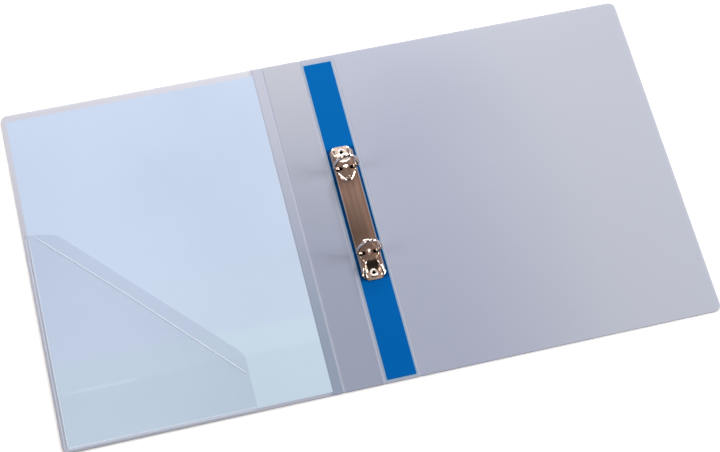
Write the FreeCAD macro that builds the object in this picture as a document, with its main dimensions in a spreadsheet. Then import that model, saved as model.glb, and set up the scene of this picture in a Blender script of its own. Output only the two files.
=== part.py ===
import FreeCAD, Part
import math
import os
import Sketcher

# Clear two-ring binder for A4 sheets, lying open. Lengths are in millimetres.
# X runs across the open binder, with the front cover at -X and the back cover at +X.
# Y runs along its height and Z points up.
# The origin is on the table, under the middle of the spine.

doc = FreeCAD.newDocument("RingBinder")
sizes = doc.addObject("Spreadsheet::Sheet", "Sizes")

DRIVING_SIZES = {
    # cover boards: one polypropylene sheet with three creases
    "cover_height": 306,
    "cover_width": 256,
    "flap_width": 33,
    "spine_width": 28.8,
    "corner_radius": 6,
    "board_thickness": 0.8,
    "board_lift": 0.5,
    "crease_gap": 1.0,
    # sheets and films on the boards
    "film_thickness": 0.15,
    "weld_width": 1.2,
    "weld_inset": 1.4,
    "sleeve_play": 0.2,
    "paper_width": 210,
    "paper_length": 297,
    "paper_thickness": 0.2,
    "paper_play": 0.05,
    "paper_bottom_gap": 2.8,
    "paper_crease_gap": 9,
    "strip_width": 24,
    "strip_thickness": 0.3,
    "pocket_width": 152,
    "pocket_tall_side": 190,
    "pocket_low_side": 48.8,
    "pocket_step": 26,
    "pocket_corner": 10,
    # ring mechanism
    "ring_spacing": 80,
    "rivet_spacing": 114,
    "housing_length": 126,
    "arch_length": 104,
    "housing_width": 20,
    "housing_height": 5.2,
    "housing_side": 3.0,
    "housing_wall": 0.8,
    "housing_inner_drop": 0.3,
    "housing_edge_radius": 2.0,
    "tab_end_width": 11,
    "tab_taper": 5,
    "slot_length": 6.0,
    "slot_width": 3.6,
    "slot_centre": 6.0,
    "blade_length": 92,
    "blade_thickness": 0.8,
    "blade_outer": 8.4,
    "blade_inner": 0.2,
    "blade_clearance": 0.8,
    "ring_half_width": 9.9,
    "ring_top": 26.4,
    "ring_waist": 10.55,
    "ring_crown_angle": 50,
    "ring_heel_radius": 6,
    "wire_radius": 1.4,
    "foot_offset": 6.4,
    "stake_radius": 1.9,
    "stake_height": 0.4,
    "tip_gap": 0.2,
    "fit_gap": 0.05,
    "rivet_head_radius": 4.0,
    "rivet_shank_radius": 2.0,
    "rivet_bore_radius": 1.3,
    "rivet_roll_radius": 3.1,
    "rivet_roll_height": 0.9,
}

DERIVED_SIZES = {
    "board_top": "board_lift + board_thickness",
    "crease_offset": "spine_width / 2",
    "outer_crease_offset": "spine_width / 2 + flap_width",
    "panel_width": "cover_width - flap_width",
    "base_height": "board_lift + board_thickness + strip_thickness",
    "paper_middle": "paper_bottom_gap + paper_length / 2 - cover_height / 2",
    "rivet_top": "board_lift + board_thickness + strip_thickness + housing_wall",
    # each half ring is three arcs: crown, side and heel, which meet without a corner
    "crown_sine": "sin(ring_crown_angle * 1 deg)",
    "crown_cosine": "cos(ring_crown_angle * 1 deg)",
    "side_climb": "(ring_top - ring_waist) * crown_sine - ring_half_width * (1 - crown_cosine)",
    "side_radius": "side_climb / (crown_sine + crown_cosine - 1)",
    "crown_radius": "(ring_half_width - (1 - crown_sine) * side_radius) / crown_sine",
    "crown_centre": "ring_top - crown_radius",
    "side_centre": "ring_half_width - side_radius",
    "heel_centre": "ring_half_width - ring_heel_radius",
    "heel_cosine": "(foot_offset - heel_centre) / ring_heel_radius",
    "foot_height": "ring_waist - ring_heel_radius * sqrt(1 - heel_cosine ^ 2)",
}


def fill_sheet():
    """Writes the driving sizes as numbers and the derived ones as formulas, each with an alias."""
    row = 1
    for alias, number in DRIVING_SIZES.items():
        sizes.set(f"A{row}", alias)
        sizes.set(f"B{row}", str(number))
        sizes.setAlias(f"B{row}", alias)
        row += 1
    for alias, formula in DERIVED_SIZES.items():
        sizes.set(f"A{row}", alias)
        sizes.set(f"B{row}", "=" + formula)
        sizes.setAlias(f"B{row}", alias)
        row += 1
    doc.recompute()


def bound(formula):
    """Turns a formula in sheet aliases into one that other objects can use."""
    words = []
    for word in formula.split():
        sign = "-" if word.startswith("-") and len(word) > 1 else ""
        name = word[len(sign):]
        known = name in DRIVING_SIZES or name in DERIVED_SIZES
        words.append(sign + "Sizes." + name if known else word)
    return " ".join(words)


def value(formula):
    return float(sizes.evalExpression(bound(formula)))


def new_body(label, x="0", y="0", z="0"):
    """A body whose own origin sits at x, y, z of the binder."""
    body = doc.addObject("PartDesign::Body", label)
    body.Label = label
    for axis, formula in (("x", x), ("y", y), ("z", z)):
        body.setExpression("Placement.Base." + axis, bound(formula))
    return body


def new_sketch(body, name, role="XY_Plane", offset="0"):
    """A sketch on one of the body's own origin planes, moved along the plane's normal."""
    sketch = body.newObject("Sketcher::SketchObject", body.Label + "_" + name)
    plane = [item for item in body.Origin.OriginFeatures if item.Role == role][0]
    sketch.AttachmentSupport = [(plane, "")]
    sketch.MapMode = "FlatFace"
    sketch.setExpression("AttachmentOffset.Base.z", bound(offset))
    return sketch


def place_point(sketch, geometry, point, x, y):
    """Holds one point of a sketch at x, y from the sketch's origin."""
    for kind, formula in (("DistanceX", x), ("DistanceY", y)):
        rule = Sketcher.Constraint(kind, -1, 1, geometry, point, value(formula))
        index = sketch.addConstraint(rule)
        sketch.setExpression(f"Constraints[{index}]", bound(formula))


def add_outline(sketch, corners):
    """A closed outline of straight lines through corners, each a pair of formulas."""
    points = [FreeCAD.Vector(value(x), value(y), 0) for x, y in corners]
    first = len(sketch.Geometry)
    count = len(corners)
    for index in range(count):
        sketch.addGeometry(Part.LineSegment(points[index], points[(index + 1) % count]), False)
    for index in range(count):
        following = first + (index + 1) % count
        sketch.addConstraint(Sketcher.Constraint("Coincident", first + index, 2, following, 1))
    for index, (x, y) in enumerate(corners):
        place_point(sketch, first + index, 1, x, y)


def add_rectangle(sketch, x_low, x_high, y_low, y_high):
    add_outline(sketch, [(x_low, y_low), (x_high, y_low), (x_high, y_high), (x_low, y_high)])


def add_circle(sketch, x, y, radius):
    centre = FreeCAD.Vector(value(x), value(y), 0)
    circle = Part.Circle(centre, FreeCAD.Vector(0, 0, 1), value(radius))
    index = sketch.addGeometry(circle, False)
    place_point(sketch, index, 3, x, y)
    rule = sketch.addConstraint(Sketcher.Constraint("Radius", index, value(radius)))
    sketch.setExpression(f"Constraints[{rule}]", bound(radius))


def pad(body, sketch, length, midplane=False):
    feature = body.newObject("PartDesign::Pad", sketch.Name + "_pad")
    feature.Profile = sketch
    feature.setExpression("Length", bound(length))
    feature.Midplane = midplane
    doc.recompute()
    return feature


def pocket(body, sketch, length=None):
    """Cuts the outline out of the body both ways, right through where no length is given."""
    feature = body.newObject("PartDesign::Pocket", sketch.Name + "_pocket")
    feature.Profile = sketch
    feature.Midplane = True
    if length is None:
        feature.Type = "ThroughAll"
    else:
        feature.setExpression("Length", bound(length))
    volume_before = body.Shape.Volume
    doc.recompute()
    if body.Shape.Volume >= volume_before:
        raise RuntimeError(feature.Name + " cuts nothing")
    return feature


def fillet(body, feature, wanted, radius):
    """Rounds the edges of a feature that the test wanted picks out."""
    names = []
    for number, edge in enumerate(feature.Shape.Edges, start=1):
        if wanted(edge):
            names.append(f"Edge{number}")
    if not names:
        raise RuntimeError("no edge to round on " + body.Label)
    rounding = body.newObject("PartDesign::Fillet", feature.Name + "_rounding")
    rounding.Base = (feature, names)
    rounding.setExpression("Radius", bound(radius))
    doc.recompute()
    return rounding


def runs_along(edge, axis):
    """True for a straight edge parallel to the axis named x, y or z."""
    if edge.Curve.TypeId != "Part::GeomLine":
        return False
    step = edge.Vertexes[-1].Point - edge.Vertexes[0].Point
    return abs(getattr(step, axis)) > 0.999 * step.Length


def build_cover_board(label, crease, side):
    """Front or back cover board: side is -1 or 1, and x is measured from its crease."""
    width = "panel_width" if side < 0 else "cover_width"
    body = new_body(label, x=crease, z="board_lift")
    sketch = new_sketch(body, "outline")
    x_limits = ("-" + width, "-crease_gap / 2") if side < 0 else ("crease_gap / 2", width)
    add_rectangle(sketch, *x_limits, "-cover_height / 2", "cover_height / 2")
    board = pad(body, sketch, "board_thickness")
    outer = value(width) - 1

    def is_outer_corner(edge):
        return runs_along(edge, "z") and abs(edge.Vertexes[0].X) > outer

    fillet(body, board, is_outer_corner, "corner_radius")


def build_front_flap():
    """Narrow panel of the cover sheet between the outer crease and the spine's crease."""
    body = new_body("front_hinge_flap", x="-crease_offset", z="board_lift")
    sketch = new_sketch(body, "outline")
    x_low = "-flap_width + crease_gap / 2"
    add_rectangle(sketch, x_low, "-crease_gap / 2", "-cover_height / 2", "cover_height / 2")
    pad(body, sketch, "board_thickness")


def cut_rivet_holes(body):
    sketch = new_sketch(body, "rivet_holes")
    for y in ("rivet_spacing / 2", "-rivet_spacing / 2"):
        add_circle(sketch, "0", y, "rivet_shank_radius + fit_gap")
    pocket(body, sketch)


def build_spine_board():
    body = new_body("spine_panel", z="board_lift")
    sketch = new_sketch(body, "outline")
    x_high = "spine_width / 2 - crease_gap / 2"
    x_low = "-spine_width / 2 + crease_gap / 2"
    add_rectangle(sketch, x_low, x_high, "-cover_height / 2", "cover_height / 2")
    pad(body, sketch, "board_thickness")
    cut_rivet_holes(body)


def build_spine_strip():
    """Coloured strip that the mechanism's rivets hold against the spine."""
    body = new_body("spine_strip", z="board_top")
    sketch = new_sketch(body, "outline")
    y_low = "paper_middle - paper_length / 2"
    y_high = "paper_middle + paper_length / 2"
    add_rectangle(sketch, "-strip_width / 2", "strip_width / 2", y_low, y_high)
    pad(body, sketch, "strip_thickness")
    cut_rivet_holes(body)


def build_front_sleeve():
    """Clear film under the front cover, welded to it on three sides and open at the top."""
    body = new_body("front_sleeve", x="-outer_crease_offset")
    x_low = "-panel_width + weld_inset"
    x_high = "-paper_crease_gap + weld_width + sleeve_play"
    y_low = "-cover_height / 2 + weld_inset"
    y_high = "cover_height / 2 - weld_inset"
    film = new_sketch(body, "film")
    add_rectangle(film, x_low, x_high, y_low, y_high)
    pad(body, film, "film_thickness")
    weld = new_sketch(body, "weld", offset="film_thickness")
    x_left = "-panel_width + weld_inset + weld_width"
    x_right = "-paper_crease_gap + sleeve_play"
    y_floor = "-cover_height / 2 + weld_inset + weld_width"
    corners = [(x_low, y_high), (x_low, y_low), (x_high, y_low), (x_high, y_high)]
    corners += [(x_right, y_high), (x_right, y_floor), (x_left, y_floor), (x_left, y_high)]
    add_outline(weld, corners)
    pad(body, weld, "board_lift - film_thickness")


def build_front_insert():
    """A4 cover sheet that lies in the front sleeve."""
    z = "film_thickness + paper_play"
    body = new_body("front_insert_sheet", x="-outer_crease_offset", z=z)
    sketch = new_sketch(body, "outline")
    y_low = "paper_middle - paper_length / 2"
    y_high = "paper_middle + paper_length / 2"
    x_low = "-paper_crease_gap - paper_width"
    add_rectangle(sketch, x_low, "-paper_crease_gap", y_low, y_high)
    pad(body, sketch, "paper_thickness")


def build_inner_pocket():
    """Diagonal film pocket inside the front cover, welded at its left and bottom edges."""
    body = new_body("inner_pocket", x="-outer_crease_offset - panel_width + weld_inset",
                    y="-cover_height / 2 + weld_inset", z="board_top")
    weld = new_sketch(body, "weld")
    corners = [("0", "0"), ("pocket_width", "0"), ("pocket_width", "weld_width")]
    corners += [("weld_width", "weld_width"), ("weld_width", "pocket_tall_side")]
    corners += [("0", "pocket_tall_side")]
    add_outline(weld, corners)
    pad(body, weld, "film_thickness")
    film = new_sketch(body, "film", offset="film_thickness")
    corners = [("0", "0"), ("pocket_width", "0"), ("pocket_width", "pocket_low_side")]
    corners += [("pocket_step", "pocket_tall_side - weld_width"), ("0", "pocket_tall_side")]
    add_outline(film, corners)
    sheet = pad(body, film, "film_thickness")
    corner_x = value("pocket_width") - 0.01
    corner_y = value("pocket_low_side") - 0.01

    def is_low_corner(edge):
        point = edge.Vertexes[0].Point
        return runs_along(edge, "z") and point.x > corner_x and point.y > corner_y

    fillet(body, sheet, is_low_corner, "pocket_corner")


def add_arch(sketch, half_width, side_height, crown_height):
    """Outline with a flat base, upright sides and a round crown, as the sheet gives it."""
    half = value(half_width)
    side = value(side_height)
    crown = value(crown_height)
    rise = crown - side
    radius = (half * half + rise * rise) / (2 * rise)
    spread = math.asin(half / radius)
    vector = FreeCAD.Vector
    sketch.addGeometry(Part.LineSegment(vector(-half, side, 0), vector(-half, 0, 0)), False)
    sketch.addGeometry(Part.LineSegment(vector(-half, 0, 0), vector(half, 0, 0)), False)
    sketch.addGeometry(Part.LineSegment(vector(half, 0, 0), vector(half, side, 0)), False)
    circle = Part.Circle(vector(0, crown - radius, 0), vector(0, 0, 1), radius)
    start = math.pi / 2 - spread
    sketch.addGeometry(Part.ArcOfCircle(circle, start, math.pi / 2 + spread), False)
    for line, following in ((0, 1), (1, 2), (2, 3), (3, 0)):
        sketch.addConstraint(Sketcher.Constraint("Coincident", line, 2, following, 1))
    place_point(sketch, 0, 1, f"-( {half_width} )", side_height)
    place_point(sketch, 1, 1, f"-( {half_width} )", "0")
    place_point(sketch, 2, 1, half_width, "0")
    place_point(sketch, 3, 1, half_width, side_height)
    rule = sketch.addConstraint(Sketcher.Constraint("Radius", 3, radius))
    climb = f"( {crown_height} - ( {side_height} ) )"
    squares = f"( {half_width} ) ^ 2 + {climb} ^ 2"
    sketch.setExpression(f"Constraints[{rule}]", bound(f"( {squares} ) / ( 2 * {climb} )"))


def build_housing():
    """Pressed top plate: an arch over the two blades, with a flat riveted tab at each end."""
    body = new_body("mechanism_housing", z="base_height")
    outside = new_sketch(body, "outside", role="XZ_Plane")
    add_arch(outside, "housing_width / 2", "housing_side", "housing_height")
    arch = pad(body, outside, "arch_length", midplane=True)
    side = value("housing_side")

    def is_shoulder(edge):
        return runs_along(edge, "y") and abs(edge.Vertexes[0].Z - side) < 0.01

    fillet(body, arch, is_shoulder, "housing_edge_radius")
    inside = new_sketch(body, "inside", role="XZ_Plane")
    add_arch(inside, "housing_width / 2 - housing_wall", "housing_side - housing_inner_drop",
             "housing_height - housing_wall")
    pocket(body, inside, "arch_length - 2 * housing_wall")
    tabs = new_sketch(body, "tabs")
    for end in ("", "-"):
        arch_end = end + "arch_length / 2"
        taper_start = f"{end}housing_length / 2 {'-' if not end else '+'} tab_taper"
        tip = end + "housing_length / 2"
        corners = [("-housing_width / 2", arch_end), ("-housing_width / 2", taper_start)]
        corners += [("-tab_end_width / 2", tip), ("tab_end_width / 2", tip)]
        corners += [("housing_width / 2", taper_start), ("housing_width / 2", arch_end)]
        add_outline(tabs, corners)
    pad(body, tabs, "housing_wall")
    cut_rivet_holes(body)
    slots = new_sketch(body, "ring_slots")
    for side_sign in ("", "-"):
        for end in ("", "-"):
            middle_x = side_sign + "slot_centre"
            middle_y = end + "ring_spacing / 2"
            add_rectangle(slots, middle_x + " - slot_length / 2", middle_x + " + slot_length / 2",
                          middle_y + " - slot_width / 2", middle_y + " + slot_width / 2")
    pocket(body, slots)


def build_blade(label, side):
    """Inner plate under one half of the housing, which carries two half rings."""
    body = new_body(label, z="base_height + blade_clearance")
    sketch = new_sketch(body, "outline")
    x_limits = ("blade_inner", "blade_outer") if side > 0 else ("-blade_outer", "-blade_inner")
    add_rectangle(sketch, *x_limits, "-blade_length / 2", "blade_length / 2")
    pad(body, sketch, "blade_thickness")
    holes = new_sketch(body, "ring_holes")
    foot_x = "foot_offset" if side > 0 else "-foot_offset"
    for y in ("ring_spacing / 2", "-ring_spacing / 2"):
        add_circle(holes, foot_x + (" + " if side > 0 else " - ") + "tip_gap / 2", y,
                   "wire_radius + fit_gap")
    pocket(body, holes)


def turned_arc(body, sketch, axis_points, angle, reverse):
    """Turns the sketch's circle about a line through two points by an angle in degrees."""
    places = [FreeCAD.Vector(value(x), value(y), 0) for x, y in axis_points]
    axis = sketch.addGeometry(Part.LineSegment(*places), True)
    for point, (x, y) in enumerate(axis_points, 1):
        place_point(sketch, axis, point, x, y)
    arc = body.newObject("PartDesign::Revolution", sketch.Name + "_arc")
    arc.Profile = sketch
    arc.ReferenceAxis = (sketch, ["Axis0"])
    arc.setExpression("Angle", bound(angle))
    arc.Reversed = reverse
    doc.recompute()


def build_half_ring(label, side, end):
    """One bent wire: crown, side and heel arcs, then a straight leg staked under the blade."""
    sign = "" if side > 0 else "-"
    y = "ring_spacing / 2" if end > 0 else "-ring_spacing / 2"
    body = new_body(label, x=sign + "tip_gap / 2", y=y, z="base_height")
    reach = "ring_half_width"
    crown = new_sketch(body, "crown", role="YZ_Plane")
    add_circle(crown, "0", "ring_top", "wire_radius")
    axis_points = (("-" + reach, "crown_centre"), (reach, "crown_centre"))
    turned_arc(body, crown, axis_points, "ring_crown_angle * 1 deg", side < 0)
    for name, centre, angle, reverse in (
            ("side", "side_centre", "90 deg - ring_crown_angle * 1 deg", side > 0),
            ("heel", "heel_centre", "acos( heel_cosine )", side < 0)):
        arc = new_sketch(body, name, offset="ring_waist")
        add_circle(arc, sign + reach, "0", "wire_radius")
        axis_x = f"{side} * {centre}"
        turned_arc(body, arc, ((axis_x, "-" + reach), (axis_x, reach)), angle, reverse)
    foot_x = sign + "foot_offset"
    leg = new_sketch(body, "leg", offset="blade_clearance - stake_height")
    add_circle(leg, foot_x, "0", "wire_radius")
    pad(body, leg, "foot_height - blade_clearance + stake_height")
    stake = new_sketch(body, "stake", offset="blade_clearance - stake_height")
    add_circle(stake, foot_x, "0", "stake_radius")
    pad(body, stake, "stake_height")


def build_rivet(label, end):
    """Tubular rivet: a flat head behind the spine and a rolled rim on the housing's tab."""
    y = "rivet_spacing / 2" if end > 0 else "-rivet_spacing / 2"
    body = new_body(label, y=y)
    profile = new_sketch(body, "profile", role="XZ_Plane")
    top = "rivet_top + rivet_roll_height"
    corners = [("0", "0"), ("rivet_head_radius", "0"), ("rivet_head_radius", "board_lift")]
    corners += [("rivet_shank_radius", "board_lift"), ("rivet_shank_radius", "rivet_top")]
    corners += [("rivet_roll_radius", "rivet_top"), ("rivet_roll_radius", top)]
    corners += [("rivet_bore_radius", top), ("rivet_bore_radius", "board_lift")]
    corners += [("0", "board_lift")]
    add_outline(profile, corners)
    turned = body.newObject("PartDesign::Revolution", label + "_turned")
    turned.Profile = profile
    turned.ReferenceAxis = (profile, ["V_Axis"])
    turned.Angle = 360
    doc.recompute()


def check_document():
    """Stops the build where any object of the document failed."""
    doc.recompute()
    for item in doc.Objects:
        if "Invalid" in item.State or "Error" in item.State:
            raise RuntimeError(f"{item.Name} failed: {item.State}")


def export_bodies():
    os.makedirs("parts", exist_ok=True)
    for body in doc.findObjects("PartDesign::Body"):
        shape = body.Shape
        if shape.isNull() or not shape.isValid() or shape.Volume <= 0:
            raise RuntimeError(body.Label + " has no valid solid")
        shape.exportStep(f"parts/{body.Label}.step")
        box = shape.BoundBox
        print(f"{body.Label:24s} {shape.Volume:10.1f} mm3  solids {len(shape.Solids)}"
              f"  x {box.XMin:.2f} {box.XMax:.2f}  y {box.YMin:.2f} {box.YMax:.2f}"
              f"  z {box.ZMin:.2f} {box.ZMax:.2f}")


fill_sheet()
build_cover_board("back_cover_panel", "crease_offset", 1)
build_cover_board("front_cover_panel", "-outer_crease_offset", -1)
build_front_flap()
build_spine_board()
build_spine_strip()
build_front_sleeve()
build_front_insert()
build_inner_pocket()
build_housing()
for blade_side, blade_name in ((-1, "left_blade"), (1, "right_blade")):
    build_blade(blade_name, blade_side)
for ring_end, end_name in ((1, "upper"), (-1, "lower")):
    for ring_side, side_name in ((-1, "left"), (1, "right")):
        build_half_ring(f"{end_name}_{side_name}_half_ring", ring_side, ring_end)
    build_rivet(f"{end_name}_rivet", ring_end)
check_document()
export_bodies()
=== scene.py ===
import math

import bmesh
import bpy
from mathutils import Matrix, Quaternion, Vector


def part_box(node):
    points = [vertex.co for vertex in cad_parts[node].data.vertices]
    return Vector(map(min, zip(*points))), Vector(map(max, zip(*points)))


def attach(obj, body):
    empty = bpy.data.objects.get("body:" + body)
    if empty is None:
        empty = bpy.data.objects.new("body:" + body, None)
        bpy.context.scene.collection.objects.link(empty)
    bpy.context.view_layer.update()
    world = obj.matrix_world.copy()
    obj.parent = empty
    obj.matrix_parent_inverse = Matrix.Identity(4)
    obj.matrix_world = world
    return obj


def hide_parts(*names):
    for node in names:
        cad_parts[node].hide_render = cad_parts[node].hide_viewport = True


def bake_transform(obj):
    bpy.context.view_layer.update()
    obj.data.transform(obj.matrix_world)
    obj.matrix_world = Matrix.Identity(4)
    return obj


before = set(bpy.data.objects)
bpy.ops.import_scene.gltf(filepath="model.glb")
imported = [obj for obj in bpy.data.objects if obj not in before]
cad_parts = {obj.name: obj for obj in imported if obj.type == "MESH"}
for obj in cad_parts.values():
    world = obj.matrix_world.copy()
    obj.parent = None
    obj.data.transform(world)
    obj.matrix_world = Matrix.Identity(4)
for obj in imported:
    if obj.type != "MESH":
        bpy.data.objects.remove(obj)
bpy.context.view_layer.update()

MM = 0.001

# how far edge rounding runs in from a side, at a crease and elsewhere, and down from the top
CREASE_REACH = 0.6 * MM
EDGE_REACH = 0.35 * MM
EDGE_DEPTH = 0.28 * MM
# how far layers that lie on each other stay apart
LAYER_GAP = 0.02 * MM

# ---------------------------------------------------------------- plain helpers


def ease(low, high, x):
    """0 below low, 1 above high and smooth between."""
    t = min(max((x - low) / (high - low), 0.0), 1.0)
    return t * t * (3.0 - 2.0 * t)


def linear(red, green, blue):
    """Scene colour of an sRGB colour given as 0 to 255."""
    out = []
    for part in (red, green, blue):
        c = part / 255.0
        out.append(c / 12.92 if c <= 0.04045 else ((c + 0.055) / 1.055) ** 2.4)
    return (*out, 1.0)


def circle(count):
    """Cosine and sine of evenly spaced angles right round."""
    angles = [2 * math.pi * i / count for i in range(count)]
    return [(math.cos(angle), math.sin(angle)) for angle in angles]


def add_mesh(name, vertices, faces, material, slot, sharp=40.0):
    """A smooth-shaded mesh object with outward faces, sharp where faces meet above an angle."""
    mesh = bpy.data.meshes.new(name)
    mesh.from_pydata([tuple(v) for v in vertices], [], faces)
    build = bmesh.new()
    build.from_mesh(mesh)
    bmesh.ops.recalc_face_normals(build, faces=build.faces)
    build.to_mesh(mesh)
    build.free()
    mesh.shade_smooth()
    mesh.set_sharp_from_angle(angle=math.radians(sharp))
    mesh.materials.append(material)
    piece = bpy.data.objects.new(name, mesh)
    bpy.context.scene.collection.objects.link(piece)
    return piece


def loft(loops):
    """Vertices and faces that join equal closed loops in order, with flat ends."""
    count = len(loops[0])
    vertices = [point for loop in loops for point in loop]
    faces = []
    for level in range(len(loops) - 1):
        for i in range(count):
            j = (i + 1) % count
            a = level * count
            faces.append((a + i, a + j, a + count + j, a + count + i))
    faces.append(tuple(reversed(range(count))))
    faces.append(tuple(range(len(vertices) - count, len(vertices))))
    return vertices, faces


def join_parts(parts):
    """One list of vertices and faces from several."""
    vertices, faces = [], []
    for part_vertices, part_faces in parts:
        start = len(vertices)
        vertices.extend(part_vertices)
        faces.extend(tuple(index + start for index in face) for face in part_faces)
    return vertices, faces


def applied(piece):
    """Turns the piece's modifiers into its mesh."""
    graph = bpy.context.evaluated_depsgraph_get()
    mesh = bpy.data.meshes.new_from_object(piece.evaluated_get(graph))
    piece.modifiers.clear()
    piece.data = mesh
    return piece


# ---------------------------------------------------------------- sheet shapes


def rounded_box_outline(left, right, low, high, radii, insets):
    """Corner arcs of a rectangle, each side moved in by its own inset.

    radii: for the corners right-high, left-high, left-low and right-low.
    insets: for the sides left, right, low and high.
    """
    steps = 8
    in_left, in_right, in_low, in_high = insets
    corners = (
        (right, high, 1, 1, in_right, in_high, 0),
        (left, high, -1, 1, in_left, in_high, 90),
        (left, low, -1, -1, in_left, in_low, 180),
        (right, low, 1, -1, in_right, in_low, 270),
    )
    points = []
    for radius, (x, y, sx, sy, in_x, in_y, start) in zip(radii, corners):
        for step in range(steps + 1):
            angle = math.radians(start + 90 * step / steps)
            shift_x = (radius - in_x) * math.cos(angle)
            shift_y = (radius - in_y) * math.sin(angle)
            points.append((x - sx * radius + shift_x, y - sy * radius + shift_y))
    return points


def sheet_slab(box, radii, reach, depth, floor=0.0):
    """A sheet with rounded edges.

    reach: how far the edge rounding runs in from the sides left, right, low and high.
    depth: how far it runs down from the top; the bottom edge has half of it.
    floor: how far the underside is lifted off the box.
    floor: how far the underside is lifted off the box.
    """
    low, high = box
    steps = 5
    bends = [math.radians(i * 90.0 / steps) for i in range(steps + 1)]
    flat_share = 1.4
    bottom_share = 0.5

    def loop(share, z):
        outline = rounded_box_outline(low.x, high.x, low.y, high.y, radii,
                                      [share * r for r in reach])
        return [(x, y, z) for x, y in outline]

    base = low.z + floor
    loops = [loop(flat_share, base)]
    for bend in reversed(bends):
        loops.append(loop(bottom_share * (1 - math.cos(bend)),
                          base + bottom_share * depth * (1 - math.sin(bend))))
    for bend in bends:
        loops.append(loop(1 - math.cos(bend), high.z - depth * (1 - math.sin(bend))))
    loops.append(loop(flat_share, high.z))
    return loft(loops)


def strip_along(points, half_width, z_low, z_high, edge):
    """A flat bar with bevelled top edges along a line of x, y points, mitred at its corners."""
    profile = [(-1, 0, z_low), (-1, 0, z_high - edge), (-1, edge, z_high),
               (1, -edge, z_high), (1, 0, z_high - edge), (1, 0, z_low)]
    places = [Vector((*point, 0)) for point in points]
    least_turn = 0.3
    loops = []
    for here in places:
        ways = [(b - a).normalized() for a, b in zip(places, places[1:]) if here in (a, b)]
        way = sum(ways, Vector()).normalized()
        side = Vector((-way.y, way.x, 0))
        stretch = 1.0 / max(ways[0].dot(way), least_turn)
        loop = []
        for sign, shift, z in profile:
            offset = (sign * half_width + shift) * stretch
            place = here + side * offset
            loop.append((place.x, place.y, z))
        loops.append(loop)
    return loft(loops)


def studs(places, radius, z, height):
    """Small round domes on a flat face at z; a negative height points them down."""
    parts = []
    for x, y in places:
        loops = []
        for share, rise in ((1.0, -0.3), (1.0, 0.2), (0.75, 0.75), (0.3, 1.0)):
            loops.append([(x + radius * share * c, y + radius * share * s, z + rise * height)
                          for c, s in circle(8)])
        parts.append(loft(loops))
    return join_parts(parts)


def spaced(start, end, pitch):
    """Evenly spaced x, y places from start to end."""
    a, b = Vector(start), Vector(end)
    count = int((b - a).length / pitch)
    return [tuple(a.lerp(b, (i + 0.5) / count)) for i in range(count)]


def lathe(profile, centre):
    """A round body from a closed profile of radius, z pairs about a vertical line."""
    vertices, faces = [], []
    segments = 48
    count = len(profile)
    for c, s in circle(segments):
        for radius, z in profile:
            vertices.append((centre[0] + radius * c, centre[1] + radius * s, z))
    for s in range(segments):
        t = (s + 1) % segments
        for i in range(count):
            j = (i + 1) % count
            faces.append((s * count + i, t * count + i, t * count + j, s * count + j))
    return vertices, faces


# ---------------------------------------------------------------- material helpers


def set_stops(ramp, stops):
    """Gives a colour ramp its position, colour pairs."""
    while len(ramp.elements) < len(stops):
        ramp.elements.new(0.5)
    for element, (position, colour) in zip(ramp.elements, stops):
        element.position = position
        element.color = colour


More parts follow.
